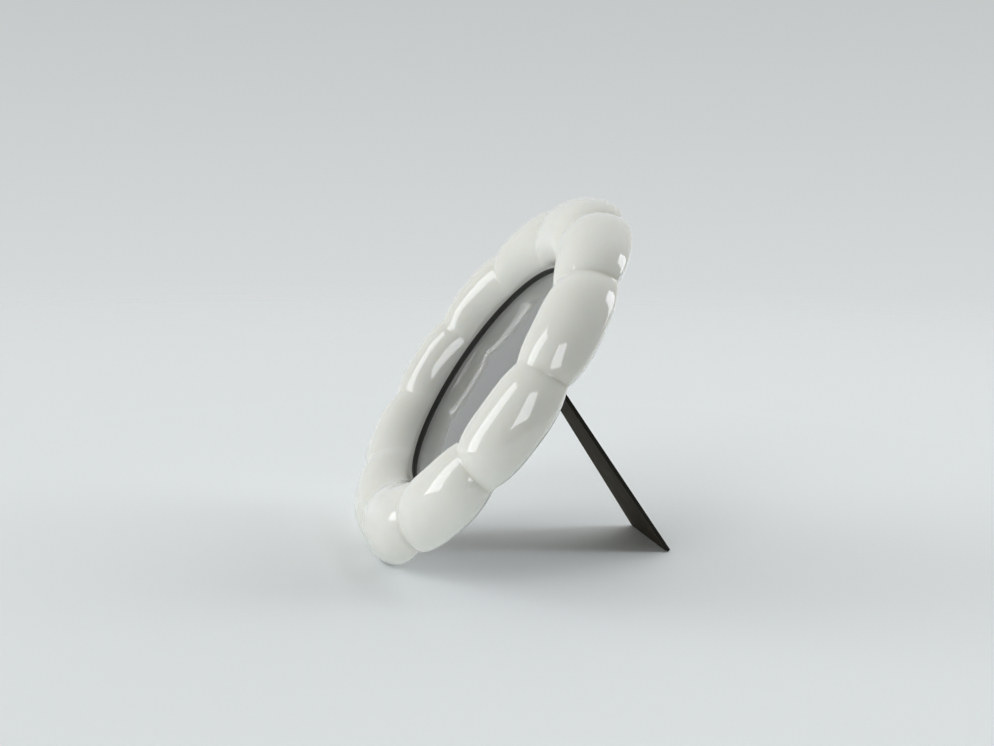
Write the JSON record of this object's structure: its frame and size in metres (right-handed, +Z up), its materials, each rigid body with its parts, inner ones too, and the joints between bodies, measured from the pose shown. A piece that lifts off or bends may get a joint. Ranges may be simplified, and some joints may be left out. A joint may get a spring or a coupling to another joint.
{
  "type": "photo frame",
  "caption": "Round table-top photo frame: a puffy white lobed ring with a glazed opening, a back board held by turn buttons, and a folding easel leg on a pin hinge.",
  "frame": {"origin": "on the floor, under the middle of the whole object", "axes": "+Z up; +X across the frame, to the right as seen from the front; the front faces -Y and leans back, and the leg stands behind it towards +Y"},
  "size_m": [0.163, 0.1196, 0.1371],
  "materials": {
    "white_glaze": "glossy white glaze",
    "black_rubber": "matt black",
    "clear_glass": "polished clear",
    "grey_paper": "plain dark grey, dull",
    "grey_card": "uncoated",
    "dark_board": "dark stained hardboard, dull",
    "plated_steel": "zinc plated sheet and wire",
    "plain_plastic": "moulded"
  },
  "bodies": {
    "frame": {"puffy_ring": "white_glaze", "glazing_gasket": "black_rubber", "glass_pane": "clear_glass", "photo_insert": "grey_paper", "filler_card": "grey_card", "back_board": "dark_board", "hinge_bracket": "plated_steel", "hinge_pin": "plated_steel", "bracket_rivets": "plated_steel", "turn_button_screws": "plated_steel", "screw_plugs": "plain_plastic"},
    "leg": {"easel_leg": "dark_board", "leg_strap": "plated_steel", "leg_rivets": "plated_steel"},
    "button_1": {"turn_button_1": "plated_steel"},
    "button_2": {"turn_button_2": "plated_steel"},
    "button_3": {"turn_button_3": "plated_steel"},
    "button_4": {"turn_button_4": "plated_steel"}
  },
  "joints": [
    {"name": "leg_hinge", "type": "hinge", "parent": "frame", "child": "leg", "pos_m": [0, 0.00721, 0.0764], "axis": [1, 0, 0], "range_deg": [-69.9, 0]},
    {"name": "button_1_pivot", "type": "hinge", "parent": "frame", "child": "button_1", "pos_m": [0.03595, 0.02662, 0.11113], "axis": [0, -0.8281, 0.5606], "continuous": true},
    {"name": "button_2_pivot", "type": "hinge", "parent": "frame", "child": "button_2", "pos_m": [0.05026, -0.02916, 0.02875], "axis": [0, -0.8281, 0.5606], "continuous": true},
    {"name": "button_3_pivot", "type": "hinge", "parent": "frame", "child": "button_3", "pos_m": [-0.05026, -0.02916, 0.02875], "axis": [0, -0.8281, 0.5606], "continuous": true},
    {"name": "button_4_pivot", "type": "hinge", "parent": "frame", "child": "button_4", "pos_m": [-0.03595, 0.02662, 0.11113], "axis": [0, -0.8281, 0.5606], "continuous": true}
  ]
}
